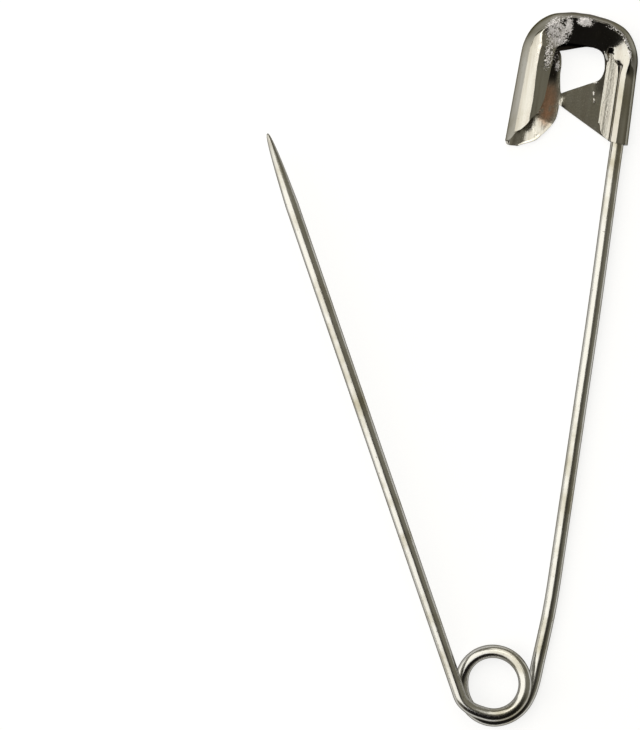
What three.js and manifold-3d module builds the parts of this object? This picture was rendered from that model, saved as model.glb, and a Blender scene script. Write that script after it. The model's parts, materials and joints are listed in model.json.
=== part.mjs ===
// A steel safety pin, 53.7 mm long, open and lying on its back.
// On the bench it is two pieces: a spring wire, bent into a back arm, a coil and a pin arm,
// and a clasp folded from one blank of thin sheet and crimped on the end of the back arm.
// The wire is divided only where it bends in use, so that each stretch can turn at its own place.
// Millimetres, +Z up off the table, +Y along the back arm from the coil to the clasp.
import * as THREE from 'three';
import { mergeVertices } from 'three/addons/utils/BufferGeometryUtils.js';
import Module from 'manifold-3d';

const wasm = await Module();
wasm.setup();

// The wire
const wireDiameter = 1.0;
const overallLength = 53.7;
const coilRadius = 2.33;
const rearTurnRadius = 2.75;
const backArmOffset = 3.27;
const backArmBow = 0.1;
const pinArmOffset = 2.69;
const turnGap = 0.46;
const pinLength = 44.1;
const pointLength = 5.6;
const wireEndChamfer = 0.1;
const footLength = 2.0;
const shankLength = 5.0;
const openAngle = THREE.MathUtils.degToRad(27.25);
const squeezeAngle = THREE.MathUtils.degToRad(4);

// The clasp
const sheetThickness = 0.2;
const claspDepth = 2.2;
const claspWidth = 9.0;
const claspTaper = 0.24;
const topFall = 0.12;
const shoulderRadius = 3.35;
const leftLegLength = 10.45;
const rightLegLength = 9.3;
const rimWidth = 0.95;
const cheekWidth = 2.4;
const cheekDip = 0.32;
const flangeWidth = 2.43;
const notchDepth = 7.05;
const neckWidth = 0.88;
const wireEndDepth = 3.2;
const stepLength = 1.1;
const stepSlant = 0.5;

// Running room between the wire and the sheet
const crimpClearance = 0.04;
const flangeClearance = 0.04;
const channelClearance = 0.1;
const sweepClearance = 0.14;

// How finely the round forms are cut into flats
const wireSides = 16;
const coilSteps = 60;
const releaseSteps = 8;
const armSteps = 12;
const bendSteps = 5;
const lipSteps = 8;
const shoulderSteps = 12;
const legSteps = 10;
const pointSteps = 9;
const windowSteps = 72;

// Sizes that follow from the ones above
const wireRadius = wireDiameter / 2;
const rimRadius = wireRadius + crimpClearance + sheetThickness;
const frontHeight = wireRadius + wireDiameter + turnGap;
const stubLength = wireDiameter;
const up = new THREE.Vector3(0, 0, 1);
const quarterTurn = Math.PI / 2;
const fullTurn = Math.PI * 2;
const smooth = (share) => THREE.MathUtils.smoothstep(share, 0, 1);
const mix = THREE.MathUtils.lerp;

// One closed skin over a row of rings that all have the same number of points
function loft(rings, startFaces, endFaces) {
  const count = rings[0].length;
  const positions = rings.flat().flatMap((point) => [point.x, point.y, point.z]);
  const faces = [];
  for (let ring = 0; ring + 1 < rings.length; ring += 1) {
    for (let side = 0; side < count; side += 1) {
      const a = ring * count + side;
      const b = ring * count + ((side + 1) % count);
      faces.push(a, b, b + count, a, b + count, a + count);
    }
  }
  const last = (rings.length - 1) * count;
  startFaces.forEach(([a, b, c]) => faces.push(a, c, b));
  endFaces.forEach(([a, b, c]) => faces.push(last + a, last + b, last + c));
  const geometry = new THREE.BufferGeometry();
  geometry.setAttribute('position', new THREE.Float32BufferAttribute(positions, 3));
  geometry.setIndex(faces);
  return geometry;
}

function solidOf(geometry) {
  const bare = geometry.clone();
  bare.deleteAttribute('normal');
  bare.deleteAttribute('uv');
  const merged = mergeVertices(bare);
  return new wasm.Manifold(new wasm.Mesh({
    numProp: 3,
    vertProperties: Float32Array.from(merged.attributes.position.array),
    triVerts: Uint32Array.from(merged.index.array),
  }));
}

function geometryOf(solid) {
  const mesh = solid.getMesh();
  const geometry = new THREE.BufferGeometry();
  geometry.setAttribute('position', new THREE.Float32BufferAttribute(mesh.vertProperties, 3));
  geometry.setIndex([...mesh.triVerts]);
  return geometry;
}

// Round wire along a row of middle points, cut square at both ends
const discFaces = Array.from({ length: wireSides - 2 }, (unused, side) => [0, side + 1, side + 2]);

function wireRing(middle, along, radius) {
  const aside = new THREE.Vector3().crossVectors(along, up).normalize();
  const above = new THREE.Vector3().crossVectors(aside, along).normalize();
  return Array.from({ length: wireSides }, (unused, side) => {
    const angle = (side * fullTurn) / wireSides;
    return middle.clone()
      .addScaledVector(aside, radius * Math.cos(angle))
      .addScaledVector(above, -radius * Math.sin(angle));
  });
}

function bentWire(middles, radii = []) {
  const rings = middles.map((middle, index) => {
    const before = middles[Math.max(index - 1, 0)];
    const after = middles[Math.min(index + 1, middles.length - 1)];
    const along = after.clone().sub(before).normalize();
    return wireRing(middle, along, radii[index] ?? wireRadius);
  });
  return loft(rings, discFaces, discFaces);
}

// The coil runs from the pin arm, in front, nearly once and a half round, behind itself. It
// starts wider where the pin arm comes in, its rear turn lies round the front one, and it drops
// to the back between the places where the turns lie over each other.
const easeInAngle = THREE.MathUtils.degToRad(55);
const easeOutStart = THREE.MathUtils.degToRad(300);
const easeOutEnd = THREE.MathUtils.degToRad(400);
const dropStartAngle = THREE.MathUtils.degToRad(115);
const dropEndAngle = THREE.MathUtils.degToRad(355);
const windingStart = Math.PI + openAngle;
const releaseAngle = THREE.MathUtils.degToRad(25);
const windingAngle = 2 * fullTurn - releaseAngle - windingStart;

function windingPoint(turned) {
  const easeIn = smooth(turned / easeInAngle);
  const easeOut = smooth((turned - easeOutStart) / (easeOutEnd - easeOutStart));
  const radius = mix(pinArmOffset, coilRadius, easeIn) + (rearTurnRadius - coilRadius) * easeOut;
  const drop = smooth((turned - dropStartAngle) / (dropEndAngle - dropStartAngle));
  return new THREE.Vector3(
    radius * Math.cos(windingStart + turned),
    radius * Math.sin(windingStart + turned),
    mix(frontHeight, wireRadius, drop),
  );
}

const winding = Array.from({ length: coilSteps + 1 }, (unused, step) => (
  windingPoint((windingAngle * step) / coilSteps)));
const coilReach = Math.max(...winding.map((point) => -point.y)) + wireRadius;

// Behind, the wire leaves the coil for the back arm in a slow curve, and the arm still flares
// outwards a little before it runs straight
const flareAngle = THREE.MathUtils.degToRad(4.3);
const flareInset = 0.19;
const flareStartHeight = 2.0;
const flareEndHeight = 9.0;
const releaseHandle = 1.1;
const flareHandle = 3.2;
const flareStart = new THREE.Vector3(backArmOffset - flareInset, flareStartHeight, wireRadius);
const leaning = (lean) => new THREE.Vector3(Math.sin(lean), Math.cos(lean), 0);

function curveBetween(start, startLean, end, endLean, handle) {
  return new THREE.CubicBezierCurve3(
    start,
    start.clone().addScaledVector(leaning(startLean), handle),
    end.clone().addScaledVector(leaning(endLean), -handle),
    end,
  );
}

// The clasp's outline, seen from the front: u runs from the left rim, v down from the top
const claspTop = overallLength - coilReach;
const claspRight = backArmOffset + rimRadius;
const claspLeft = claspRight - claspWidth;

// The pin arm's angles. Closed, it lies along the inside of the clasp's left rim.
// Open, it stands far enough forward to pass in front of the clasp.
const leftMouth = claspTop - leftLegLength;
const channelMiddle = claspDepth / 2;
const channelInset = sheetThickness + channelClearance + wireRadius;
const closedSlant = Math.atan((-pinArmOffset - claspLeft - channelInset) / leftMouth);
const closingAngle = openAngle - closedSlant;
const passingHeight = claspDepth + sweepClearance + wireRadius;
const forwardSlant = Math.atan((passingHeight - frontHeight) / leftMouth);
const tuckPlace = stubLength + footLength;
const tuckHeight = frontHeight + tuckPlace * Math.tan(forwardSlant);
const tuckAngle = forwardSlant
  + Math.atan((tuckHeight - channelMiddle) / (leftMouth - tuckPlace));

const pinDirection = new THREE.Vector3(0, 1, 0)
  .applyAxisAngle(new THREE.Vector3(1, 0, 0), forwardSlant)
  .applyAxisAngle(up, openAngle);
const coilStart = windingPoint(0).addScaledVector(pinDirection, stubLength);
const windingEnd = windingPoint(windingAngle);
const release = curveBetween(windingEnd, releaseAngle, flareStart, flareAngle, releaseHandle);
const coilPath = [coilStart, ...winding, ...release.getPoints(releaseSteps).slice(1)];

function leastGapToItself(path) {
  let least = Infinity;
  const walked = [0];
  for (let index = 1; index < path.length; index += 1) {
    walked.push(walked[index - 1] + path[index].distanceTo(path[index - 1]));
  }
  const nearStretch = coilRadius * Math.PI;
  path.forEach((from, first) => path.forEach((to, second) => {
    if (walked[second] - walked[first] > nearStretch) {
      least = Math.min(least, from.distanceTo(to) - wireDiameter);
    }
  }));
  return least;
}

// The back arm rises from the table to the middle of the crimp, and ends blunt inside the clasp
const backArmEnd = claspTop - wireEndDepth;
const crimpStart = claspTop - rightLegLength;
const bowEndHeight = overallLength / 2;
const flareEnd = new THREE.Vector3(backArmOffset + backArmBow, flareEndHeight, wireRadius);
const flare = curveBetween(flareStart, flareAngle, flareEnd, 0, flareHandle);
const backArmPath = flare.getPoints(armSteps);
for (let step = 1; step <= armSteps; step += 1) {
  const height = mix(flareEndHeight, crimpStart, step / armSteps);
  const bow = 1 - smooth((height - bowEndHeight) / (crimpStart - bowEndHeight));
  backArmPath.push(new THREE.Vector3(backArmOffset + backArmBow * bow, height, 0));
}
backArmPath.forEach((point) => {
  const rise = smooth((point.y - flareStart.y) / (crimpStart - flareStart.y));
  point.setZ(mix(wireRadius, rimRadius, rise));
});
backArmPath.push(new THREE.Vector3(backArmOffset, backArmEnd - wireEndChamfer, rimRadius));
backArmPath.push(new THREE.Vector3(backArmOffset, backArmEnd, rimRadius));
const backArmRadii = backArmPath.map(() => wireRadius);
backArmRadii[backArmPath.length - 1] = wireRadius - wireEndChamfer;

// Straight wire on the Y axis, from [radius, distance] pairs
function straightWire(outline) {
  const points = outline.map(([radius, distance]) => new THREE.Vector2(radius, distance));
  return new THREE.LatheGeometry(points, wireSides);
}

// The point swells quickly from its tip and then ever more slowly, as a ground point does
const needleLength = pinLength - tuckPlace - shankLength;
const pointSwell = 0.4;
const needleOutline = [[0, 0], [wireRadius, 0]];
for (let step = 0; step <= pointSteps; step += 1) {
  const toTip = (1 - step / pointSteps) ** 2;
  needleOutline.push([wireRadius * toTip ** pointSwell, needleLength - pointLength * toTip]);
}

// The clasp's skirt: one strip of sheet that runs up the left leg, over the shoulders and
// down the right leg. Across, it comes off the back plate, turns round the rim and reaches
// in over the front. On the right leg the front is pressed round the wire and flat beside it.
const leftTop = claspLeft + claspTaper;
const leftShoulder = new THREE.Vector2(leftTop + shoulderRadius, claspTop - shoulderRadius);
const rightShoulder = new THREE.Vector2(claspRight - shoulderRadius, leftShoulder.y - topFall);
const topAngle = quarterTurn - Math.atan(topFall / (rightShoulder.x - leftShoulder.x));

function skirtStations() {
  const stations = [];
  const addArc = (middle, from, to) => {
    for (let step = 0; step <= shoulderSteps; step += 1) {
      const angle = mix(from, to, step / shoulderSteps);
      stations.push(new THREE.Vector2(
        middle.x + shoulderRadius * Math.cos(angle),
        middle.y + shoulderRadius * Math.sin(angle),
      ));
    }
  };
  for (let step = 0; step < legSteps; step += 1) {
    const share = step / legSteps;
    stations.push(new THREE.Vector2(
      mix(claspLeft, leftTop, share),
      mix(leftMouth, leftShoulder.y, share),
    ));
  }
  addArc(leftShoulder, Math.PI, topAngle);
  addArc(rightShoulder, topAngle, 0);
  for (let step = 1; step <= legSteps; step += 1) {
    stations.push(new THREE.Vector2(claspRight, mix(rightShoulder.y, crimpStart, step / legSteps)));
  }
  return stations;
}

function bendOutline(height, reach, inset) {
  const points = [];
  for (let step = 0; step <= bendSteps; step += 1) {
    const angle = (quarterTurn * step) / bendSteps;
    points.push(new THREE.Vector2(
      rimRadius - (rimRadius - inset) * Math.sin(angle),
      rimRadius - (rimRadius - inset) * Math.cos(angle),
    ));
  }
  for (let step = 1; step <= bendSteps; step += 1) {
    const angle = (quarterTurn * step) / bendSteps;
    points.push(new THREE.Vector2(
      reach - (reach - inset) * Math.cos(angle),
      rimRadius + (height - rimRadius - inset) * Math.sin(angle),
    ));
  }
  return points;
}

// Open section: a rounded hook, its front dipping a little towards the edge
function hookOutline(inset) {
  const points = [new THREE.Vector2(rimWidth + sheetThickness, inset)];
  points.push(...bendOutline(claspDepth, rimWidth, inset));
  for (let step = 1; step <= lipSteps; step += 1) {
    const share = step / lipSteps;
    points.push(new THREE.Vector2(
      mix(rimWidth, cheekWidth, share),
      claspDepth - inset - cheekDip * share ** 2,
    ));
  }
  return points;
}

// Crimped section: closed round the wire, then flat on the back plate
function crimpOutline(inset) {
  const radius = rimRadius - inset;
  const flangeTop = 2 * sheetThickness + flangeClearance - inset;
  const foldAngle = Math.asin((flangeTop - rimRadius) / radius);
  const points = [new THREE.Vector2(rimWidth + sheetThickness, inset)];
  points.push(...bendOutline(2 * rimRadius, rimRadius, inset));
  const foldSteps = lipSteps - 2;
  for (let step = 1; step <= foldSteps; step += 1) {
    const angle = mix(quarterTurn, foldAngle, step / foldSteps);
    points.push(new THREE.Vector2(
      rimRadius + radius * Math.cos(angle),
      rimRadius + radius * Math.sin(angle),
    ));
  }
  const crease = 2 * rimRadius;
  points.push(new THREE.Vector2(crease + sheetThickness, flangeTop));
  points.push(new THREE.Vector2(flangeWidth, flangeTop));
  return points;
}

function closedSection(outlineOf) {
  return [...outlineOf(0), ...outlineOf(sheetThickness).reverse()];
}

function sectionFaces(section) {
  const turn = Math.sign(THREE.ShapeUtils.area(section));
  return THREE.ShapeUtils.triangulateShape(section, []).map(([a, b, c]) => {
    const faceTurn = Math.sign(THREE.ShapeUtils.area([section[a], section[b], section[c]]));
    return faceTurn === turn ? [a, b, c] : [a, c, b];
  });
}

function skirtGeometry() {
  const stations = skirtStations();
  const hook = closedSection(hookOutline);
  const crimp = closedSection(crimpOutline);
  const rings = stations.map((station, index) => {
    const before = stations[Math.max(index - 1, 0)];
    const after = stations[Math.min(index + 1, stations.length - 1)];
    const along = after.clone().sub(before).normalize();
    const depth = claspTop - station.y;
    const onRight = station.x > (claspLeft + claspRight) / 2;
    return hook.map((point, side) => {
      const stepDepth = wireEndDepth - stepLength - stepSlant * (point.x - rimRadius);
      const pressed = onRight ? smooth((depth - stepDepth) / stepLength) : 0;
      const across = mix(point.x, crimp[side].x, pressed);
      const height = mix(point.y, crimp[side].y, pressed);
      return new THREE.Vector3(
        station.x + along.y * across,
        station.y - along.x * across,
        height,
      );
    });
  });
  return loft(rings, sectionFaces(hook), sectionFaces(crimp));
}

// Edges cut in the clasp's flat blank, u across from the left rim and v down from the top.
// The window lies between the cheeks and the neck. Below the neck a notch parts the leaf,
// which backs the left cheek, from the web, which runs to the wire's mouth in the right leg.
const notchAcrossShare = 0.397;
const windowShares = [
  [0.332, 0.178], [0.388, 0.125], [0.443, 0.085], [0.499, 0.045], [0.554, 0.011], [0.594, 0],
  [0.639, 0.021], [0.678, 0.066], [0.707, 0.159], [0.722, 0.318], [0.721, 0.483],
  [0.7, 0.584], [0.666, 0.668], [0.61, 0.748], [0.554, 0.814], [0.499, 0.894], [0.443, 0.96],
  [0.403, 1], [0.388, 0.881], [0.377, 0.721], [0.368, 0.536], [0.363, 0.345], [0.349, 0.245],
];
const webEdgeShares = [
  [1, 1], [0.92, 0.853], [0.824, 0.742], [0.704, 0.609], [0.463, 0.409], [0.222, 0.209],
  [0.101, 0.12], [0, 0],
];
const leafEdgeShares = [
  [-0.004, 0.109], [0.03, 0.256], [0.088, 0.403], [0.183, 0.55], [0.298, 0.668],
  [0.45, 0.785], [0.565, 0.85], [0.718, 0.909], [0.832, 0.938], [0.985, 0.976],
];
const cheekEdgeShares = [
  [1.3, 0.02], [1, 0.05], [0.933, 0.138], [0.829, 0.256], [0.704, 0.374], [0.621, 0.476],
  [0.5375, 0.579], [0.4125, 0.668], [0.225, 0.785], [0.1, 0.874], [0, 1],
];

const notchAcross = notchAcrossShare * claspWidth;
const wireMouthAcross = claspWidth - 2 * rimRadius + sheetThickness;
const onClasp = (u, v) => new THREE.Vector2(claspLeft + u, claspTop - v);
const windowEdge = windowShares.map(([acrossShare, downShare]) => onClasp(
  acrossShare * claspWidth,
  mix(cheekWidth, notchDepth - neckWidth, downShare),
));
const webEdge = webEdgeShares.map(([acrossShare, downShare]) => onClasp(
  mix(notchAcross, wireMouthAcross, acrossShare),
  mix(notchDepth, rightLegLength, downShare),
));
const leafEdge = leafEdgeShares.map(([acrossShare, downShare]) => onClasp(
  mix(notchAcross, rimWidth, acrossShare),
  mix(notchDepth, leftLegLength, downShare),
));
const cheekEdge = cheekEdgeShares.map(([acrossShare, downShare]) => onClasp(
  acrossShare * cheekWidth,
  mix(notchDepth, leftLegLength, downShare),
));

function backPlateGeometry() {
  const left = claspLeft + rimWidth;
  const right = claspRight - rimWidth;
  const radius = shoulderRadius - rimWidth;
  const outline = new THREE.Shape();
  outline.moveTo(right, crimpStart);
  outline.lineTo(right, rightShoulder.y);
  outline.absarc(rightShoulder.x, rightShoulder.y, radius, 0, topAngle, false);
  outline.absarc(leftShoulder.x, leftShoulder.y, radius, topAngle, Math.PI, false);
  outline.lineTo(left, leftMouth);
  [...leafEdge].reverse().forEach((point) => outline.lineTo(point.x, point.y));
  [...webEdge].reverse().forEach((point) => outline.lineTo(point.x, point.y));
  const corners = windowEdge.map((corner) => new THREE.Vector3(corner.x, corner.y, 0));
  const roundEdge = new THREE.CatmullRomCurve3(corners, true, 'centripetal');
  const hole = new THREE.Path();
  hole.setFromPoints(roundEdge.getPoints(windowSteps));
  outline.holes.push(hole);
  return new THREE.ExtrudeGeometry(outline, {
    depth: sheetThickness,
    bevelEnabled: false,
    curveSegments: shoulderSteps,
  });
}

// What the press cuts off the left cheek: everything below its slanting lower edge
function cheekOffcutGeometry() {
  const corners = [...cheekEdge];
  const outside = claspLeft - rimWidth;
  const below = leftMouth - rimWidth;
  corners.push(new THREE.Vector2(outside, leftMouth));
  corners.push(new THREE.Vector2(outside, below));
  corners.push(new THREE.Vector2(corners[0].x, below));
  const offcut = new THREE.ExtrudeGeometry(new THREE.Shape(corners), {
    depth: claspDepth,
    bevelEnabled: false,
  });
  return offcut.translate(0, 0, rimRadius / 2);
}

// What it cuts off the right leg: the corner of the flange below the web
function flangeOffcutGeometry() {
  const corners = [...webEdge];
  const below = crimpStart - rimWidth;
  corners.push(new THREE.Vector2(corners[corners.length - 1].x, below));
  corners.push(new THREE.Vector2(corners[0].x, below));
  const offcut = new THREE.ExtrudeGeometry(new THREE.Shape(corners), {
    depth: claspDepth,
    bevelEnabled: false,
  });
  return offcut.translate(0, 0, -sheetThickness);
}

function claspGeometry() {
  const skirt = solidOf(skirtGeometry());
  const plate = solidOf(backPlateGeometry());
  const cheekOffcut = solidOf(cheekOffcutGeometry());
  const flangeOffcut = solidOf(flangeOffcutGeometry());
  return geometryOf(skirt.subtract(flangeOffcut).add(plate).subtract(cheekOffcut));
}

// Finishes
const platedWire = new THREE.MeshStandardMaterial({
  color: 0xb9b6aa,
  roughness: 0.22,
  metalness: 1,
});
const platedSheet = new THREE.MeshStandardMaterial({
  color: 0xc4c1b4,
  roughness: 0.26,
  metalness: 1,
});

function part(name, geometry, material) {
  const mesh = new THREE.Mesh(geometry, material);
  mesh.name = name;
  return mesh;
}

// The pieces that stay with the clasp
const pin = new THREE.Group();
pin.add(part('clasp_cap', claspGeometry(), platedSheet));
pin.add(part('back_arm', bentWire(backArmPath, backArmRadii), platedWire));
pin.add(part('spring_coil', bentWire(coilPath), platedWire));

// The pin arm: a foot that swings with the coil, a shank that leans back for the tuck,
// and the needle that is squeezed inwards to pass the cheek
const foot = new THREE.Group();
foot.position.copy(coilStart);
foot.rotation.order = 'ZYX';
foot.rotation.set(forwardSlant, 0, openAngle);
foot.add(part('pin_foot', straightWire([
  [0, 0], [wireRadius, 0], [wireRadius, footLength], [0, footLength],
]), platedWire));
const shank = new THREE.Group();
shank.position.y = footLength;
shank.add(part('pin_shank', straightWire([
  [0, 0], [wireRadius, 0], [wireRadius, shankLength], [0, shankLength],
]), platedWire));
const needle = new THREE.Group();
needle.position.y = shankLength;
needle.add(part('pin_needle', straightWire(needleOutline), platedWire));
shank.add(needle);
foot.add(shank);
pin.add(foot);

// The origin is under the middle of the pin, on the table
pin.updateMatrixWorld(true);
const extent = new THREE.Box3().setFromObject(pin, true);
const middle = extent.getCenter(new THREE.Vector3());
pin.position.set(-middle.x, -middle.y, -extent.min.z);
pin.updateMatrixWorld(true);

// Where the wire bends, for whoever poses the pin: each place lies on the edge of the cut
// that stays closed, so that the cut opens
const inward = new THREE.Vector3(1, 0, 0).applyAxisAngle(up, openAngle);
const report = (label, vector) => console.log(label, vector.toArray().map((n) => n.toFixed(4)).join(' '));
const degrees = (angle) => THREE.MathUtils.radToDeg(angle).toFixed(3);
const tuckPoint = shank.localToWorld(new THREE.Vector3(0, 0, -wireRadius));
const squeezePoint = needle.localToWorld(new THREE.Vector3(wireRadius, 0, 0));
console.log('coil, least gap to itself', leastGapToItself(coilPath).toFixed(3));
report('extent', extent.getSize(new THREE.Vector3()));
report('coil middle', pin.localToWorld(new THREE.Vector3()));
report('tuck point', tuckPoint);
report('tuck axis', inward);
report('squeeze point', squeezePoint);
report('clasp top left', pin.localToWorld(new THREE.Vector3(claspLeft, claspTop, 0)));
report('clasp right mouth', pin.localToWorld(new THREE.Vector3(claspRight, crimpStart, 0)));
console.log('closing angle', degrees(closingAngle), 'tuck angle', degrees(tuckAngle));
console.log('forward slant', degrees(forwardSlant), 'squeeze angle', degrees(squeezeAngle));

export default pin;
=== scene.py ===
import bisect
import json
import math

import bmesh
import bpy
from mathutils import Euler, Matrix, Vector, noise


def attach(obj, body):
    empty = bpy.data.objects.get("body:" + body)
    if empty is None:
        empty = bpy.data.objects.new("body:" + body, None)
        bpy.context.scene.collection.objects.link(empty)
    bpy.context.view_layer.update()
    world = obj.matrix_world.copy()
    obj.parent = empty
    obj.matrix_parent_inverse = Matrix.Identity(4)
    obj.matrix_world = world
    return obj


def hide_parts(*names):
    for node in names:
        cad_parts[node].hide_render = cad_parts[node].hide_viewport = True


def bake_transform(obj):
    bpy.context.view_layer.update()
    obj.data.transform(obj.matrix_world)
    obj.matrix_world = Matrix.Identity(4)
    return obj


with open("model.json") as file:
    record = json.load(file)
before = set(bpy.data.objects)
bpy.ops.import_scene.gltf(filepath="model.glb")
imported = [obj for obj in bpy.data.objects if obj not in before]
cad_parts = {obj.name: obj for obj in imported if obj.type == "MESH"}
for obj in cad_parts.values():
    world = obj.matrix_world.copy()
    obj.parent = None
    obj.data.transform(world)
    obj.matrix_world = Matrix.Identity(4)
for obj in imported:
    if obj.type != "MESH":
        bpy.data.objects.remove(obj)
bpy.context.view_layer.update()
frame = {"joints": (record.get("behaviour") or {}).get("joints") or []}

# ---------------------------------------------------------------------------
# The table, the camera and the light. The pin lies on a plain white table and is seen
# from straight above. One soft box stands on the left and one beyond the clasp, with a gap
# overhead where the camera looks through, so that the polished metal shows light and dark.
mm = 0.001
image_width, image_height = 640, 730
swing = next(joint for joint in frame["joints"] if joint["name"] == "pin_swing")
coil_x, coil_y, _ = Vector(swing["pos_m"]) / mm
picture_aside, picture_ahead, picture_level = -16.2408, 21.5702, 1.2
picture_middle = Vector((coil_x + picture_aside, coil_y + picture_ahead, picture_level)) * mm
picture_height = 54.46 * mm
picture_turn = math.radians(8.35)

camera = bpy.data.objects.new("camera", bpy.data.cameras.new("camera"))
bpy.context.collection.objects.link(camera)
camera.data.lens = 150
half_field = camera.data.sensor_width / 2 / camera.data.lens
long_side = picture_height * max(image_width, image_height) / image_height
camera.location = picture_middle + Vector((0, 0, long_side / 2 / half_field))
camera.rotation_euler = (0, 0, picture_turn)
camera.data.clip_start = 0.01
camera.data.clip_end = 20
bpy.context.scene.camera = camera
bpy.context.scene.view_settings.view_transform = "Standard"

lamp_colour = (1.0, 0.985, 0.95)


def soft_box(name, aside, ahead, distance, width, depth, brightness):
    """An area lamp that faces the pin, tipped over from overhead by two angles in degrees."""
    lamp = bpy.data.objects.new(name, bpy.data.lights.new(name, "AREA"))
    bpy.context.collection.objects.link(lamp)
    lamp.data.shape = "RECTANGLE"
    lamp.data.size = width
    lamp.data.size_y = depth
    lamp.data.energy = brightness * math.pi * width * depth
    lamp.data.color = lamp_colour
    tip = Euler((math.radians(-ahead), math.radians(aside), 0)).to_matrix().to_4x4()
    turn = Matrix.Rotation(picture_turn, 4, "Z")
    lamp.matrix_world = turn @ tip @ Matrix.Translation((0, 0, distance))


soft_box("soft box left", aside=-48.3, ahead=0, distance=0.5, width=0.9, depth=0.6, brightness=1.48)
soft_box("soft box beyond", aside=-4, ahead=36, distance=0.5, width=0.3, depth=0.4, brightness=1.5)


class Shade:
    """A socket of a material's node tree, which takes part in sums as a number does."""

    def __init__(self, tree, socket=None):
        self.tree = tree
        self.socket = socket

    def node(self, kind, settings, sockets, output=0):
        """A new node: its settings first, then the values or links of its sockets."""
        made = self.tree.nodes.new("ShaderNode" + kind)
        for name, value in settings.items():
            setattr(made, name, value)
        for name, value in sockets.items():
            if isinstance(value, Shade):
                self.tree.links.new(value.socket, made.inputs[name])
            else:
                made.inputs[name].default_value = value
        return Shade(self.tree, made.outputs[output] if made.outputs else None)

    def tint(self, amount, colour, over):
        """A colour with another one laid over it by an amount."""
        return self.node("Mix", {"data_type": "RGBA"}, {0: amount, 6: colour, 7: over}, 2)

    def sum(self, operation, first, second):
        return self.node("Math", {"operation": operation}, {0: first, 1: second})

    def __add__(self, other):
        return self.sum("ADD", self, other)

    def __sub__(self, other):
        return self.sum("SUBTRACT", self, other)

    def __rsub__(self, other):
        return self.sum("SUBTRACT", other, self)

    def __mul__(self, other):
        return self.sum("MULTIPLY", self, other)

    __radd__ = __add__
    __rmul__ = __mul__


def blank_material(name):
    material = bpy.data.materials.new(name)
    material.use_nodes = True
    material.node_tree.nodes.clear()
    return material, Shade(material.node_tree)


table_colour = (0.36, 0.36, 0.357, 1)
table_glow = 0.78
table_size = 3.0

bm = bmesh.new()
bmesh.ops.create_grid(bm, x_segments=1, y_segments=1, size=table_size / 2)
table_mesh = bpy.data.meshes.new("table")
bm.to_mesh(table_mesh)
bm.free()
table = bpy.data.objects.new("table", table_mesh)
bpy.context.collection.objects.link(table)
material, shade = blank_material("white table")
seen = shade.node("LightPath", {}, {}, "Is Camera Ray")
mirrored = shade.node("LightPath", {}, {}, "Is Glossy Ray")
through = shade.node("LightPath", {}, {}, "Is Transmission Ray")
matt = shade.node("BsdfDiffuse", {}, {"Color": table_colour})
glow = shade.node("Emission", {}, {"Strength": (seen + mirrored + through) * table_glow})
both = shade.node("AddShader", {}, {0: matt, 1: glow})
shade.node("OutputMaterial", {}, {"Surface": both})
table_mesh.materials.append(material)

# The room is plain, with a dark side beyond the coil, which the metal mirrors
room_colour = (0.25, 0.238, 0.19, 1)
shadow_side_colour = (0.012, 0.011, 0.01, 1)
shadow_start, shadow_full = 0.55, 0.88

world = bpy.data.worlds.new("studio")
bpy.context.scene.world = world
world.use_nodes = True
world.node_tree.nodes.clear()
shade = Shade(world.node_tree)
direction = shade.node("TexCoord", {}, {}, "Generated")
shadow_side = Matrix.Rotation(picture_turn, 3, "Z") @ Vector((0.1, -0.7, 0.7)).normalized()
facing = shade.node(
    "VectorMath", {"operation": "DOT_PRODUCT"}, {0: direction, 1: shadow_side}, "Value")
dark = shade.node("MapRange", {"interpolation_type": "SMOOTHSTEP"}, {
    "Value": facing, "From Min": shadow_start, "From Max": shadow_full, "To Min": 0.0, "To Max": 1.0})
room = shade.tint(dark, room_colour, shadow_side_colour)
background = shade.node("Background", {}, {"Color": room, "Strength": 1.0})
shade.node("OutputWorld", {}, {"Surface": background})

# ---------------------------------------------------------------------------
# The wire. One length of hard drawn spring wire, plated, bent once and a half round a
# mandrel. Here it is drawn straight, with its blunt end at length 0, and then bent; it is
# divided only where all of it follows one body, so that the coil stays a coil in every pose.
wire_radius = 0.5
wire_sides = 32
open_angle = math.radians(27.25)
forward_slant = math.radians(1.26)
pin_length = 44.1

# The coil, by the angle turned from the pin arm: how its radius and its height change
pin_arm_radius = 2.69
coil_radius = 2.33
rear_turn_radius = 2.87
front_height = 1.96
release_angle = math.radians(25)
winding_angle = math.radians(720 - 25 - 180) - open_angle
ease_in_angle = math.radians(55)
ease_out_start, ease_out_end = math.radians(337), math.radians(440)
drop_start, drop_end = math.radians(115), math.radians(355)

# The back arm, up from the coil. Inside the crimp it lies at the height of the clasp's back bend
back_arm_x = 3.33
back_arm_bow = 0.12
bow_end = 26.85
crimp_start = 41.15
back_arm_end = 47.25
back_bend_radius = 0.74
release_handle = 1.1
flare_angle = math.radians(4.3)
flare_start = Vector((3.13, 2.0, wire_radius))
flare_end = Vector((back_arm_x + back_arm_bow, 9.0, wire_radius))
flare_handle = 3.2


def smooth(share):
    share = min(max(share, 0.0), 1.0)
    return share * share * (3 - 2 * share)


def rise(value, start, end):
    """Softly from 0 at the start to 1 at the end."""
    return smooth((value - start) / (end - start))


def fade(value, start, end):
    """Softly from 1 at the start to 0 at the end."""
    return 1 - rise(value, start, end)


def mix(first, second, share):
    return first + (second - first) * share


def winding_place(turned):
    """The middle of the wire in the coil, by the angle turned from the pin arm, in mm."""
    radius = mix(pin_arm_radius, coil_radius, rise(turned, 0, ease_in_angle))
    radius += (rear_turn_radius - coil_radius) * rise(turned, ease_out_start, ease_out_end)
    height = mix(front_height, wire_radius, rise(turned, drop_start, drop_end))
    angle = math.pi + open_angle + turned
    return Vector((radius * math.cos(angle), radius * math.sin(angle), height))


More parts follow.
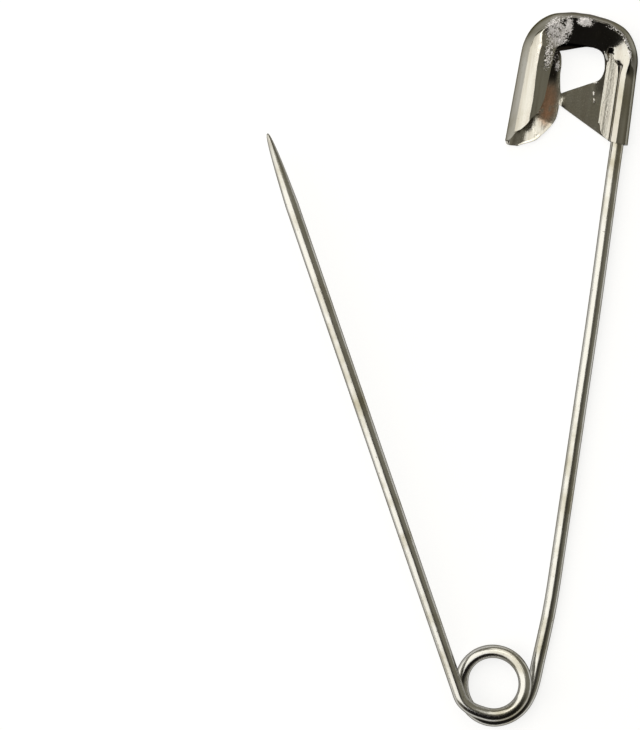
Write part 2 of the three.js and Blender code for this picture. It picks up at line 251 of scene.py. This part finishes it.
def curve_between(start, start_lean, end, end_lean, handle, share):
    """A place on the slow curve between two places, by the wire's lean at each of them."""
    first = start + Vector((math.sin(start_lean), math.cos(start_lean), 0)) * handle
    second = end - Vector((math.sin(end_lean), math.cos(end_lean), 0)) * handle
    rest = 1 - share
    return (start * rest ** 3 + first * 3 * rest ** 2 * share
            + second * 3 * rest * share ** 2 + end * share ** 3)


# The route of the wire's middle: down the back arm, round the coil and up the pin arm
straight_steps = 120
bend_steps = 50
winding_steps = 1400
pin_steps = 160

route = []
for step in range(straight_steps):
    y = mix(back_arm_end, flare_end.y, step / straight_steps)
    bow = fade(y, bow_end, crimp_start)
    route.append(Vector((back_arm_x + back_arm_bow * bow, y, 0)))
for step in range(bend_steps):
    share = 1 - step / bend_steps
    route.append(curve_between(flare_start, flare_angle, flare_end, 0, flare_handle, share))
for place in route:
    place.z = mix(wire_radius, back_bend_radius, rise(place.y, flare_start.y, crimp_start))
winding_end = winding_place(winding_angle)
for step in range(bend_steps):
    share = 1 - step / bend_steps
    route.append(curve_between(
        winding_end, release_angle, flare_start, flare_angle, release_handle, share))
arm_steps = len(route)
for step in range(winding_steps + 1):
    route.append(winding_place(winding_angle * (1 - step / winding_steps)))
pin_turn = Matrix.Rotation(open_angle, 3, "Z") @ Matrix.Rotation(forward_slant, 3, "X")
pin_direction = pin_turn @ Vector((0, 1, 0))
pin_root = route[-1]
for step in range(1, pin_steps + 1):
    route.append(pin_root + pin_direction * pin_length * step / pin_steps)

route_lengths = [0.0]
for before, after in zip(route, route[1:]):
    route_lengths.append(route_lengths[-1] + (after - before).length)
root_length = route_lengths[arm_steps + winding_steps]
wire_length = route_lengths[-1]


def wire_place(length):
    """Where a length along the wire ends up once it is bent, in mm from the coil's middle."""
    index = min(max(bisect.bisect_right(route_lengths, length) - 1, 0), len(route) - 2)
    step_length = route_lengths[index + 1] - route_lengths[index]
    return route[index].lerp(route[index + 1], (length - route_lengths[index]) / step_length)


def winding_length(turned):
    return route_lengths[arm_steps + round(winding_steps * (1 - turned / winding_angle))]


def ring_row(start, end, spacing):
    """Rings of full radius from one length along the wire to another."""
    count = max(round((end - start) / spacing), 1)
    return [(mix(start, end, step / count), wire_radius) for step in range(count + 1)]


def along_wire(part, vert_count):
    """A number by which edges or faces line up along the wire, the same way in each run."""
    places = [vert.index for vert in part.verts]
    return min(places) * vert_count + max(places)


def straight_wire(rings):
    """Straight wire on the Z axis through rings of given length and radius, its ends filled."""
    bm = bmesh.new()
    first_length, first_radius = rings[0]
    bmesh.ops.create_circle(bm, segments=wire_sides, radius=first_radius, cap_ends=False)
    bmesh.ops.translate(bm, vec=(0, 0, first_length), verts=bm.verts[:])
    edges = bm.edges[:]
    ends = [edges]
    for (length, radius), (next_length, next_radius) in zip(rings, rings[1:]):
        made = bmesh.ops.extrude_edge_only(bm, edges=edges)["geom"]
        verts = [item for item in made if isinstance(item, bmesh.types.BMVert)]
        ring = set(verts)
        edges = [
            item for item in made
            if isinstance(item, bmesh.types.BMEdge) and ring.issuperset(item.verts)]
        bmesh.ops.scale(bm, vec=(next_radius / radius, next_radius / radius, 1), verts=verts)
        bmesh.ops.translate(bm, vec=(0, 0, next_length - length), verts=verts)
    ends.append(edges)
    for end in ends:
        bmesh.ops.edgeloop_fill(bm, edges=end)
        for edge in end:
            edge.smooth = False
    bmesh.ops.recalc_face_normals(bm, faces=bm.faces[:])
    bm.verts.index_update()
    for parts in (bm.edges, bm.faces):
        parts.sort(key=lambda part: along_wire(part, len(bm.verts)))
    return bm


def from_coil(place):
    """A place in mm from the coil's middle, in metres in the pin's own frame."""
    return Vector((place.x + coil_x, place.y + coil_y, place.z)) * mm


def bend(bm):
    """Bends straight wire to the pin's shape, and keeps the straight places for the finish."""
    straight = bm.verts.layers.float_vector.new("straight")
    near = 0.02
    for vert in bm.verts:
        vert[straight] = vert.co
        length = vert.co.z
        along = (wire_place(length + near) - wire_place(length - near)).normalized()
        aside = Vector((0, 0, 1)).cross(along).normalized()
        above = along.cross(aside)
        vert.co = from_coil(wire_place(length) + aside * vert.co.x + above * vert.co.y)


def finished(name, bm, material):
    for face in bm.faces:
        face.smooth = True
    mesh = bpy.data.meshes.new(name)
    bm.to_mesh(mesh)
    bm.free()
    mesh.materials.append(material)
    piece = bpy.data.objects.new(name, mesh)
    bpy.context.collection.objects.link(piece)
    return piece


# The wire's plating: drawing lines along it, clouds of tarnish, and painted shade on all but its
# upper side
wire_colour = (0.57, 0.562, 0.53, 1)
wire_edge_tint = (0.13, 0.12, 0.10, 1)
wire_tarnish = (0.36, 0.335, 0.255, 1)
# Painted shade: the colour that darkens the wire's sides and underside
wire_painted_shade = (0.25, 0.24, 0.215, 1)
pit_colour = (0.12, 0.105, 0.08, 1)
wire_roughness = 0.17
die_line_scale = (9.0, 9.0, 0.22)
flank_shade_start, flank_shade_full = 0.36, 0.2

wire_material, shade = blank_material("plated spring wire")
straight = shade.node("Attribute", {"attribute_name": "straight"}, {}, "Vector")
place = shade.node("TexCoord", {}, {}, "Object")
stretched = shade.node("VectorMath", {"operation": "MULTIPLY"}, {0: straight, 1: die_line_scale})
die_lines = shade.node(
    "TexNoise", {}, {"Vector": stretched, "Scale": 1.0, "Detail": 4.0, "Roughness": 0.65})
clouds = shade.node("TexNoise", {}, {"Vector": place, "Scale": 420.0, "Detail": 3.0})
grains = shade.node("TexNoise", {}, {"Vector": place, "Scale": 5200.0, "Detail": 2.0})
stain = shade.node("MapRange", {}, {"Value": clouds, "From Min": 0.48, "From Max": 0.72})
pits = shade.node("MapRange", {}, {"Value": grains, "From Min": 0.69, "From Max": 0.78})
# Painted shade, on all of the wire's cross-section below its upper side, broken by the drawing lines
above = shade.node("SeparateXYZ", {}, {"Vector": straight}, 1)
painted_flank_shade = shade.node("MapRange", {}, {"Value": above, "From Min": flank_shade_start, "From Max": flank_shade_full})
plated = shade.tint(stain, wire_colour, wire_tarnish)
flank_shaded = shade.tint(painted_flank_shade * (0.4 + die_lines * 0.5), plated, wire_painted_shade)
pitted = shade.tint(pits, flank_shaded, pit_colour)
roughness = wire_roughness + (die_lines - 0.5) * 0.22 + stain * 0.05 + pits * 0.2
bump = shade.node("Bump", {}, {
    "Strength": 0.5, "Distance": 0.00002, "Height": die_lines * 0.7 + grains * 0.25 - pits * 0.5})
metal = shade.node("BsdfPrincipled", {}, {
    "Base Color": pitted, "Metallic": 1.0, "Roughness": roughness,
    "Specular Tint": wire_edge_tint, "Normal": bump})
shade.node("OutputMaterial", {}, {"Surface": metal})

# The back arm and the rear of the coil: the rings stand wide apart down the arm, and close
# together from its flare on
blunt_end = [(0, 0.4), (0.03, 0.46), (0.1, 0.5)]
blunt_length = 0.4
straight_step = 1.0
turn_step = 0.1
crossing_start = winding_length(math.radians(332))
crossing_end = winding_length(math.radians(152))

flare_length = route_lengths[straight_steps]
rings = blunt_end + ring_row(blunt_length, flare_length, straight_step)
rings += ring_row(flare_length + turn_step, crossing_start, turn_step)
bm = straight_wire(rings)
bend(bm)
wire_back = finished("wire_back", bm, wire_material)
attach(wire_back, "clasp_and_back")
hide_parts("back_arm", "spring_coil")

bm = straight_wire(ring_row(crossing_start, crossing_end, turn_step))
bend(bm)
wire_crossing = finished("wire_crossing", bm, wire_material)
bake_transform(wire_crossing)

# ---------------------------------------------------------------------------
# The wire from the front of the coil up into the foot of the pin arm. It turns as one with
# the foot, so its coiled stretch keeps its round shape.
foot_end = root_length + 1.5

bm = straight_wire(ring_row(crossing_end, root_length, turn_step) + [(foot_end, wire_radius)])
bend(bm)
wire_front = finished("wire_front", bm, wire_material)
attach(wire_front, "foot")
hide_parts("pin_foot")

# ---------------------------------------------------------------------------
# The shank of the pin arm.
shank_end = root_length + 5.5
bend_step = 0.25
tuck_start, tuck_end = 1.9, 4.1


def pin_arm_place(along_pin):
    return from_coil(pin_root + pin_direction * along_pin)


bm = straight_wire(ring_row(foot_end, shank_end, bend_step))
bend(bm)
wire_shank = finished("wire_shank", bm, wire_material)
pin_arm_place(tuck_start)
pin_arm_place(tuck_end)
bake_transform(wire_shank)
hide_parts("pin_shank")

# ---------------------------------------------------------------------------
# The needle, the long free end of the wire. Its point is ground on a wheel: it narrows slowly and
# then ever more quickly.
squeeze_start, squeeze_end = 6.0, 10.0
fine_end = root_length + 11
needle_step = 1.5
point_length = 5.6
point_swell = 0.4
point_rings = 44

rings = ring_row(shank_end, fine_end, bend_step)
rings += ring_row(fine_end + 1, wire_length - point_length, needle_step)
for step in range(1, point_rings):
    to_tip = (1 - step / point_rings) ** 2
    rings.append((wire_length - point_length * to_tip, wire_radius * to_tip ** point_swell))
bm = straight_wire(rings)
bend(bm)
wire_needle = finished("wire_needle", bm, wire_material)
pin_arm_place(squeeze_start)
pin_arm_place(squeeze_end)
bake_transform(wire_needle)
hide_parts("pin_needle")

# ---------------------------------------------------------------------------
# The clasp. One blank of thin plated sheet, with a window pierced in its back. Its rim is
# drawn up and rolled in over the front, the left cheek is left open for the needle, and the
# right leg is pressed shut round the blunt end of the wire.
sheet = 0.2
middle_height = sheet / 2

# Its sizes, across from the left rim and down from the top in mm
clasp_left = coil_x - 4.99
clasp_top = coil_y + 50.45
clasp_width = 9.0
taper = 0.24
top_fall = 0.12
shoulder = 3.35
left_leg = 10.45
right_leg = 9.3
leg_flare = 0.12
plate_edge = 1.0

# Sections through the middle of the sheet, in from the rim and up from the table: round the
# back bend, up the side, over the crown, and down the lip
back_bend = [(1.00, 0.10), (0.74, 0.10), (0.495, 0.149), (0.287, 0.287), (0.149, 0.495), (0.10, 0.74)]
hook_section = [
    back_bend,
    [(0.10, 0.74), (0.155, 0.95), (0.25, 1.19), (0.36, 1.42), (0.48, 1.63), (0.59, 1.80)],
    [(0.59, 1.80), (0.66, 1.865), (0.80, 1.925), (1.03, 1.99), (1.29, 2.045), (1.52, 2.085)],
    [(1.52, 2.085), (1.60, 2.06), (1.85, 1.97), (2.10, 1.87), (2.35, 1.78)]]
arch_section = [
    back_bend,
    [(0.10, 0.74), (0.14, 0.97), (0.22, 1.26), (0.32, 1.53), (0.43, 1.79), (0.51, 1.96)],
    [(0.51, 1.96), (0.535, 2.00), (0.56, 2.015), (0.59, 2.01), (0.62, 1.99)],
    [(0.62, 1.99), (1.05, 1.75), (1.50, 1.50), (1.95, 1.26), (2.35, 1.06)]]
crimp_section = [
    back_bend,
    [(0.10, 0.74), (0.16, 0.95), (0.27, 1.14), (0.41, 1.26), (0.55, 1.33), (0.68, 1.365)],
    [(0.68, 1.365), (0.75, 1.385), (0.82, 1.39), (0.90, 1.375), (1.00, 1.338)],
    [(1.00, 1.338), (1.10, 1.298), (1.175, 1.25), (1.215, 1.15), (1.235, 0.98), (1.245, 0.80),
     (1.25, 0.64), (1.265, 0.55), (1.30, 0.522), (1.36, 0.512), (1.45, 0.499), (1.58, 0.481),
     (1.72, 0.464), (1.86, 0.448), (2.00, 0.433), (2.14, 0.415), (2.27, 0.398)]]
section_quads = [12, 12, 10, 26]
plate_quads = 34
bend_quads = section_quads[0]
lip_index = sum(section_quads[:3])
crest_index = lip_index - section_quads[2] // 2
flange_index = lip_index + 11

# The cut ends of the legs, by depth in from the rim and down
cheek_end = [
    (0.0, 10.3), (0.15, 10.24), (0.31, 10.04), (0.53, 9.65), (0.99, 9.37), (1.41, 8.87),
    (1.57, 8.45), (1.99, 7.95), (2.2, 7.4), (2.4, 6.6)]
back_end = [(0.0, 10.3), (0.1, 10.4), (0.3, 10.48), (0.5, 10.5), (0.75, 10.46), (1.0, 10.45)]
flange_end = [
    (0.0, 9.3), (0.9, 9.3), (1.3, 9.2), (1.6, 9.02), (1.9, 8.82), (2.1, 8.6), (2.2, 8.3), (2.27, 7.9)]

# The free edges of the back, across and down: the leaf, the neck and round the window
leaf_edge = [
    (1.12, 10.41), (1.40, 10.28), (1.75, 10.12), (2.28, 9.85), (2.74, 9.35), (3.07, 8.93),
    (3.35, 8.52), (3.57, 8.02), (3.65, 7.35), (3.65, 6.97)]
neck_edge = [(3.65, 6.97), (3.69, 6.10)]
window_left = [
    (3.69, 6.10), (3.60, 5.95), (3.49, 5.35), (3.40, 4.68), (3.39, 4.02), (3.28, 3.35), (3.10, 2.98)]
window_left_corner = [(3.10, 2.98), (3.53, 2.86), (3.98, 2.71)]
window_top = [(3.98, 2.71), (4.53, 2.53), (5.07, 2.39), (5.57, 2.37)]
window_right_corner = [(5.57, 2.37), (6.07, 2.50), (6.40, 2.81), (6.57, 3.27)]
window_lower = [
    (6.57, 3.27), (6.63, 3.85), (6.54, 4.35), (6.36, 4.68), (6.07, 4.89), (5.57, 5.14),
    (5.07, 5.39), (4.07, 5.89), (3.69, 6.10)]


def along_line(points, share):
    """A place on the smooth line through the points, by its share of the line's length."""
    lengths = [0.0]
    for before, after in zip(points, points[1:]):
        lengths.append(lengths[-1] + math.dist(before, after))
    length = min(max(share, 0.0), 1.0) * lengths[-1]
    index = min(max(bisect.bisect_right(lengths, length) - 1, 0), len(points) - 2)
    part = (length - lengths[index]) / (lengths[index + 1] - lengths[index])
    before, start, end, after = [
        Vector(points[min(max(index + shift, 0), len(points) - 1)]) for shift in (-1, 0, 1, 2)]
    curve_in = (end - before) / 2
    curve_out = (after - start) / 2
    return (start * (2 * part ** 3 - 3 * part ** 2 + 1)
            + curve_in * (part ** 3 - 2 * part ** 2 + part)
            + end * (3 * part ** 2 - 2 * part ** 3) + curve_out * (part ** 3 - part ** 2))


def read_off(points, first):
    """The second number of a row of points, read off at a value of the first."""
    for (start, low), (end, high) in zip(points, points[1:]):
        if first <= end:
            return mix(low, high, max(first - start, 0) / (end - start))
    return points[-1][1]


# The rim's own line: up the left leg, over both shoulders and down the right leg
left_middle = Vector((taper + shoulder, shoulder))
right_middle = Vector((clasp_width - shoulder, shoulder + top_fall))
top_turn = math.pi / 2 + math.atan2(top_fall, right_middle.x - left_middle.x)


def shoulder_place(middle, turned):
    """On a shoulder of the rim, by the angle turned from the left."""
    return middle + shoulder * Vector((-math.cos(turned), -math.sin(turned)))


def shoulder_arc(middle, start_turn, end_turn):
    return lambda share: shoulder_place(middle, mix(start_turn, end_turn, share))


def rim_line(start, end):
    return lambda share: Vector(start).lerp(Vector(end), share)


def on_left_rim(down):
    return (mix(0, taper, (left_leg - down) / (left_leg - shoulder)), down)


def on_right_rim(down):
    share = (down - right_middle.y) / (right_leg - right_middle.y)
    return (clasp_width + leg_flare * share, down)


# The rim in stretches: how many quads, the rim's own line, and the inner edge beside it
neck_top, neck_bottom = 6.1, 6.97
neck_quads = 6
lower_leg = mix(right_middle.y, right_leg, 0.9)
stretches = [
    (40, rim_line((0, left_leg), on_left_rim(neck_bottom)), leaf_edge),
    (neck_quads, rim_line(on_left_rim(neck_bottom), on_left_rim(neck_top)), neck_edge),
    (30, rim_line(on_left_rim(neck_top), on_left_rim(shoulder)), window_left),
    (84, shoulder_arc(left_middle, 0, top_turn), window_left_corner),
    (36, rim_line(shoulder_place(left_middle, top_turn), shoulder_place(right_middle, top_turn)),
     window_top),
    (70, shoulder_arc(right_middle, top_turn, math.pi), window_right_corner),
    (52, rim_line((clasp_width, right_middle.y), on_right_rim(lower_leg)), window_lower),
    (neck_quads, rim_line(on_right_rim(lower_leg), on_right_rim(right_leg)), neck_edge[::-1]),
]
stations = []
for index, (quads, rim, inner_edge) in enumerate(stretches):
    for step in range(quads + (index == len(stretches) - 1)):
        stations.append((rim(step / quads), along_line(inner_edge, step / quads)))

# Where the press has eased the top of the rim out or in: across, half width, and how far out
eased_places = [(2.9, 0.6, -0.055), (5.0, 0.6, 0.065), (7.75, 0.7, 0.085)]
left_shoulder_eased = -0.055
rim_middle = Vector((4.6, 3.5))


def hill(value, middle, half_width):
    """1 at the middle, falling away like a low hill on both sides."""
    return math.exp(-((value - middle) / half_width) ** 2)


def eased(rim):
    """Moves the rim in or out a little, so that its arcs and its top line join softly."""
    out = left_shoulder_eased * fade(rim.x, 3.0, 4.2)
    for across, half_width, amount in eased_places:
        out += amount * hill(rim.x, across, half_width)
    return rim + (rim - rim_middle).normalized() * out * fade(rim.y, 2.2, 3.8)


def section_places(section):
    """Places across the sheet, round the back bend, up the side, over the crown, down the lip."""
    places = []
    for line, quads in zip(section, section_quads):
        places += [along_line(line, step / quads) for step in range(quads)]
    return places + [Vector(section[-1][-1])]


hook_places = section_places(hook_section)
arch_places = section_places(arch_section)
crimp_places = section_places(crimp_section)

# The press: where it closes the right leg, and the slanted top of the flange that it leaves
press_start, press_end = 2.9, 4.2
flange_left = 6.45
flange_top = 2.56
flange_slant = 0.67
flange_step = 0.2
dip_start, dip_end = 2.15, 2.75
lowered_share = 0.2

# Where the press has scored and crumpled the sheet: across, down, half width, half length, amount
front_marks = [
    (2.65, 1.9, 1.1, 1.35, 1.1), (3.41, 1.25, 0.42, 0.85, 1.2), (4.59, 0.76, 0.8, 0.34, 1.2),
    (2.22, 3.85, 0.42, 2.1, 0.62)]
plate_marks = [
    (3.12, 4.15, 0.26, 0.45, 1.0), (2.75, 3.5, 0.5, 0.9, 0.15), (6.1, 5.8, 0.07, 0.2, 0.5),
    (6.2, 6.3, 0.07, 0.15, 0.45), (6.05, 4.95, 0.25, 0.1, 0.6), (2.0, 7.7, 0.45, 0.45, 0.25)]
# Where a warm reflection is painted on the back: across, down, half width, half length, amount
painted_reflection_marks = [(2.75, 6.9, 0.95, 2.3, 1.0)]
# The flange's corner where dark shade is painted: across, down, half width, half length
flange_corner = (6.75, 2.4, 0.42, 0.38)


def patch(across, down, middle_across, middle_down, half_width, half_length):
    """1 in the middle of an oval patch, and softly less from there to its edge."""
    away = math.hypot((across - middle_across) / half_width, (down - middle_down) / half_length)
    return smooth(1.6 - 1.6 * away)


def marked(marks, across, down):
    """How much of a kind of mark there is at a place. Noise breaks the patches up."""
    amount = max(strength * patch(across, down, *oval) for *oval, strength in marks)
    broken = noise.noise(Vector((across * 3.0, down * 3.0, 8.7)))
    return amount * smooth(0.95 + 0.9 * broken)


def crumpled(across, down):
    coarse = noise.noise(Vector((across * 4.5, down * 4.5, 0.3)))
    fine = noise.noise(Vector((across * 10.0, down * 10.0, 5.1)))
    return 0.04 * coarse + 0.02 * fine


leaf_rise = 0.16
edge_lift = 0.012
neck_rise = 0.06


def plate_height(across, down, to_edge):
    """The back is flat, but the leaf behind the cheek is dished, and the free edges lift."""
    on_left = across < 4
    leaf = rise(across, 1.2, 2.7) * rise(down - 0.35 * across, 7.2, 8.8) * on_left
    lifted = fade(to_edge, 0, 0.25) * rise(down, 3.2, 3.7) * on_left
    pinched = hill(across, 3.87, 0.13) * rise(down, 6.45, 6.7) * fade(down, 7.0, 7.2)
    return middle_height + leaf_rise * leaf + edge_lift * lifted + neck_rise * pinched


def plate_finish(across, down):
    """Painted warm reflection by the neck, and painted dull and dark shade under the folded rim."""
    # Painted shade on the back where it lies under the left cheek and the arch
    painted_dull = 0.5 * fade(down, 6.1, 7.6) * (across < 3.7)
    # Painted dark shade under the left shoulder, under the arch and beside the right leg
    under_shoulder = fade(across, 3.05, 3.35) * fade(down, 4.9, 6.0)
    under_arch = fade(down, 3.1, 3.4)
    beside_leg = 0.6 * rise(across, 5.9, 6.4) * fade(down, 5.3, 6.2)
    return marked(painted_reflection_marks, across, down), painted_dull, max(under_shoulder, under_arch, beside_leg)


def rim_finish(turned, across, down, depth, index):
    """Painted shade: dull shade round the outside, dark shade on the crest and beside the crimp."""
    # Painted shade round the outside of the rim: light on the left leg, strong on both shoulders and
    # the right leg, none along the top
    painted_dull = 0.2 + 0.75 * rise(turned, 1, 26)
    painted_dull -= rise(turned, 50, 80) * fade(turned, 105, 130)
    painted_dull_depth = mix(0.85, 0.3, rise(down, 3.8, 4.6) * (turned > 90))
    painted_dull *= fade(depth, painted_dull_depth, painted_dull_depth + 0.3) * fade(index, crest_index - 5, crest_index)
    # Painted dark shade on the crest, on the side of the right leg, in the step beside the crimp and
    # in the flange's corner
    crest_shade = 0.7 * rise(turned, 25, 50) * fade(turned, 150, 170) * hill(index, crest_index, 2.2)
    on_leg = turned > 140
    side = 0.6 * rise(down, 2.0, 2.8) * fade(down, 3.7, 4.5) * on_leg * (index < crest_index)
    wall_start = flange_index - mix(3, 6, rise(down, press_start, press_end))
    wall = rise(index, wall_start, wall_start + 2) * fade(index, flange_index + 1, flange_index + 3)
    step_shadow = 0.95 * rise(down, 3.0, 3.3) * wall * on_leg
    corner_shade = 0.6 * patch(across, down, *flange_corner)
    return 0.0, painted_dull, max(crest_shade, side, step_shadow, corner_shade)


def plate_place(rim, inward, inner, place_index):
    """A place on the flat back, from its free edge out to the bend, and its finish."""
    share = 1 - place_index / plate_quads
    edge = rim + inward * plate_edge
    across, down = edge.lerp(inner, share)
    to_edge = (1 - share) * (inner - edge).length
    worked = marked(plate_marks, across, down) * rise(place_index, 0, 3)
    height = plate_height(across, down, to_edge) + worked * crumpled(across, down)
    return across, down, height, worked, *plate_finish(across, down)


def cut_to(down, start, leg, cut):
    """The way down a leg once it is drawn out or in, to end where the blank was cut."""
    return start + (down - start) * (cut - start) / (leg - start)


def rim_place(rim, inward, turned, index):
    """A place on the folded rim, from the bend at the back to the end of the lip, and its finish."""
    on_right = rim.x > clasp_width / 2
    arch = 1.0 if on_right else rise(turned, 8, 44)
    depth, height = hook_places[index].lerp(arch_places[index], arch)
    if index > bend_quads:
        wider = 0.25 * rise(turned, 20, 45) * fade(turned, 55, 85) + 0.12 * rise(turned, 100, 130)
        depth += wider * rise(depth, 0, 0.5) * fade(depth, 0.7, 2.4)
        narrower = 0.17 * fade(rim.y, 4.6, 8.6) * fade(turned, 15, 55)
        depth -= narrower * rise(depth, 0.6, 1.5) * fade(depth, 1.52, 2.32)
    above_bend = rise(height, back_bend_radius, back_bend_radius + 0.8)
    height *= 1 - lowered_share * rise(turned, 95, 160) * above_bend
    if on_right:
        place = rim + inward * depth
        slanted = flange_top + flange_slant * (place.x - flange_left)
        dipped = fade(place.x, 6.95, 7.25)
        start = mix(slanted, dip_start, dipped)
        end = mix(slanted + flange_step, dip_end, dipped)
        flange = rise(place.y, start, end) * rise(place.x, flange_left, flange_left + 0.2)
        bulge = rise(place.y, press_start, press_end)
        pressed = mix(bulge, flange, rise(index, flange_index, flange_index + 3))
        depth = mix(depth, crimp_places[index].x, pressed)
        height = mix(height, crimp_places[index].y, pressed)
        if index > bend_quads:
            depth += (rim.x - clasp_width) * rise(depth, 0.1, 0.6) * (rim.y > right_middle.y)
    across, down = rim + inward * depth
    scored_line = 0.5 * rise(turned, 95, 110) * fade(turned, 160, 175) * hill(depth, 0.66, 0.06)
    worked = max(marked(front_marks, across, down), scored_line)
    worked *= rise(index, bend_quads, bend_quads + 10)
    height += worked * crumpled(across, down)
    if not on_right and rim.y > shoulder:
        off_back = rise(height, 0.37, 0.57)
        cut = mix(read_off(back_end, depth), read_off(cheek_end, depth), off_back)
        down = cut_to(down, shoulder, left_leg, cut)
    if on_right and rim.y > right_middle.y:
        cut = read_off(flange_end, depth) if index > bend_quads else right_leg
        down = cut_to(down, right_middle.y, right_leg, cut)
    if index <= bend_quads:
        return across, down, height, worked, 0.0, 0.0, 0.0
    return across, down, height, worked, *rim_finish(turned, across, down, depth, index)


def clasp_place(station, place_index):
    """Where a place of the blank ends up once it is folded: across, down, height and finish."""
    rim, inner = stations[station]
    before = stations[max(station - 1, 0)][0]
    after = stations[min(station + 1, len(stations) - 1)][0]
    along = (after - before).normalized()
    inward = Vector((-along.y, along.x))
    if place_index <= plate_quads:
        return plate_place(eased(rim), inward, inner, place_index)
    turned = math.degrees(math.atan2(along.x, -along.y))
    return rim_place(eased(rim), inward, turned, place_index - plate_quads)


station_quads = len(stations) - 1
place_quads = plate_quads + sum(section_quads)
# The finish attributes: where the sheet was worked, then painted warm reflection, painted dull shade
# and painted dark shade
finish_names = ("worked", "painted_warm_reflection", "painted_dull_shade", "painted_dark_shade")

bm = bmesh.new()
bmesh.ops.create_grid(bm, x_segments=station_quads, y_segments=place_quads, size=0.5)
finish_layers = [bm.verts.layers.float.new(name) for name in finish_names]
for vert in bm.verts:
    station = round((vert.co.x + 0.5) * station_quads)
    place_index = round((vert.co.y + 0.5) * place_quads)
    across, down, height, *finish = clasp_place(station, place_index)
    vert.co = Vector((clasp_left + across, clasp_top - down, height)) * mm
    for layer, amount in zip(finish_layers, finish):
        vert[layer] = amount
bmesh.ops.remove_doubles(bm, verts=bm.verts[:], dist=0.002 * mm)

# The sheet's plating: tarnish and streaks all over, and painted glints as pale specks where it was
# worked
sheet_colour = (0.50, 0.485, 0.44, 1)
sheet_tarnish = (0.36, 0.34, 0.26, 1)
# The next four colours are painted: dull shade, warm reflection, dark shade and glints
sheet_painted_dull_shade = (0.25, 0.24, 0.20, 1)
sheet_painted_warm_reflection = (0.50, 0.275, 0.165, 1)
sheet_painted_dark_shade = (0.035, 0.03, 0.026, 1)
sheet_painted_glint = (1.0, 0.97, 0.98, 1)
sheet_streak = (0.34, 0.295, 0.24, 1)
sheet_edge_tint = (0.13, 0.125, 0.11, 1)
sheet_roughness = 0.13

sheet_material, shade = blank_material("plated sheet")
place = shade.node("TexCoord", {}, {}, "Object")
worked, painted_warm_reflection, painted_dull_shade, painted_dark_shade = [
    shade.node("Attribute", {"attribute_name": name}, {}, "Fac") for name in finish_names]
clouds = shade.node("TexNoise", {}, {"Vector": place, "Scale": 380.0, "Detail": 4.0})
grains = shade.node("TexNoise", {}, {"Vector": place, "Scale": 5500.0, "Detail": 2.0})
slanting = shade.node(
    "Mapping", {}, {"Vector": place, "Rotation": (0, 0, 0.3), "Scale": (9000, 500, 3000)})
scuffs = shade.node(
    "TexNoise", {}, {"Vector": slanting, "Scale": 1.0, "Detail": 3.0, "Roughness": 0.7})
stain = shade.node("MapRange", {}, {"Value": clouds, "From Min": 0.5, "From Max": 0.78})
lengthwise = shade.node("Mapping", {}, {"Vector": place, "Scale": (3200, 240, 2000)})
streaks = shade.node(
    "TexNoise", {}, {"Vector": lengthwise, "Scale": 1.0, "Detail": 3.0, "Roughness": 0.6})
streaked = shade.node(
    "MapRange", {}, {"Value": streaks, "From Min": 0.42, "From Max": 0.7, "To Max": 0.4})
pits = shade.node("MapRange", {}, {"Value": grains, "From Min": 0.70, "From Max": 0.80})
# Painted glints: pale, less metallic specks where the sheet was worked
glint_noise = shade.node("TexNoise", {}, {"Vector": place, "Scale": 9000.0, "Detail": 3.0})
speckled = shade.node(
    "MapRange", {}, {"Value": glint_noise * 4.0 + worked, "From Min": 2.25, "From Max": 2.8})
painted_glints = speckled * shade.node("MapRange", {}, {"Value": worked, "From Max": 0.12})
# Tints laid over the plating in turn: tarnish, streaks, painted dull shade, painted warm reflection,
# painted dark shade, painted glints, pits
tinted = sheet_colour
for amount, colour in (
        (stain, sheet_tarnish), (streaked, sheet_streak), (painted_dull_shade, sheet_painted_dull_shade),
        (painted_warm_reflection * (clouds + 0.25), sheet_painted_warm_reflection), (painted_dark_shade, sheet_painted_dark_shade), (painted_glints, sheet_painted_glint),
        (pits * 0.8, pit_colour)):
    tinted = shade.tint(amount, tinted, colour)
roughness = (
    sheet_roughness + (scuffs - 0.5) * 0.12 + stain * 0.06 + pits * 0.2 + painted_glints * 0.3 + painted_warm_reflection * 0.04)
height = scuffs * 0.35 + grains * (0.3 + worked * 7.0) - pits * 0.4
bump = shade.node("Bump", {}, {"Strength": 0.4, "Distance": 0.00003, "Height": height})
metal = shade.node("BsdfPrincipled", {}, {
    "Base Color": tinted, "Metallic": 1 - painted_glints * 0.9, "Roughness": roughness,
    "Specular Tint": sheet_edge_tint, "Normal": bump})
shade.node("OutputMaterial", {}, {"Surface": metal})

clasp = finished("clasp", bm, sheet_material)
wall = clasp.modifiers.new("sheet", "SOLIDIFY")
wall.thickness = sheet * mm
wall.offset = 0
wall.use_even_offset = True
edge_round = clasp.modifiers.new("sheared edge", "BEVEL")
edge_round.width = 0.04 * mm
edge_round.segments = 2
edge_round.limit_method = "ANGLE"
edge_round.angle_limit = math.radians(72)
edge_round.harden_normals = True
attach(clasp, "clasp_and_back")
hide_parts("clasp_cap")
